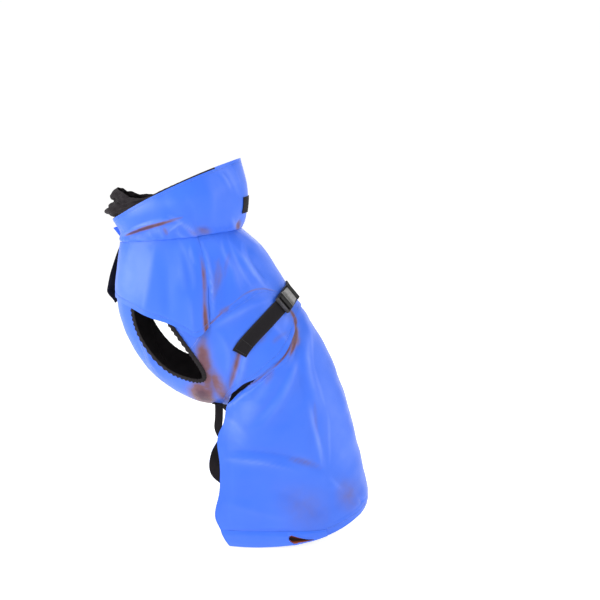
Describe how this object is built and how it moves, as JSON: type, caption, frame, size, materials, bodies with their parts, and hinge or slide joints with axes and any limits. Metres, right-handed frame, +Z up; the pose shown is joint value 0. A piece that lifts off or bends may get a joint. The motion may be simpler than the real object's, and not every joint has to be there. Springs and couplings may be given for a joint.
{
  "type": "dog raincoat",
  "caption": "Worn dog raincoat in coated fabric: funnel collar, shoulder capes, belly band with a back strap and buckle, and a long rear skirt, hollow and open at neck, legs and front.",
  "frame": {"origin": "Inside the back neck seam on the middle plane, where the coat lies on the withers.", "axes": "+Z up, +X from the throat towards the tail, -Y the coat's left side, which faces the camera in the picture."},
  "size_m": [0.5375, 0.2702, 0.7582],
  "materials": {
    "coated_fabric": "blue coated weatherproof cloth with a low sheen, black inside",
    "black_lining": "matte black knit",
    "black_elastic": "woven black elastic",
    "black_webbing": "woven black webbing",
    "black_plastic": "satin black plastic",
    "grey_plastic": "satin grey plastic"
  },
  "bodies": {
    "root": {"collar": "coated_fabric", "inner_collar": "black_lining", "collar_tab": "coated_fabric", "nape_label": "black_lining", "back_yoke": "coated_fabric", "chest_bib": "coated_fabric", "belly_band": "coated_fabric", "cape_left": "coated_fabric", "cape_right": "coated_fabric", "armhole_binding_left": "black_elastic", "armhole_binding_right": "black_elastic", "rear_skirt": "coated_fabric", "hem_turnup": "coated_fabric", "strap_left": "black_webbing", "strap_right": "black_webbing", "buckle_socket": "black_plastic", "buckle_plug": "black_plastic", "buckle_bar": "grey_plastic", "leg_elastic_left": "black_elastic", "leg_elastic_right": "black_elastic"}
  },
  "joints": []
}
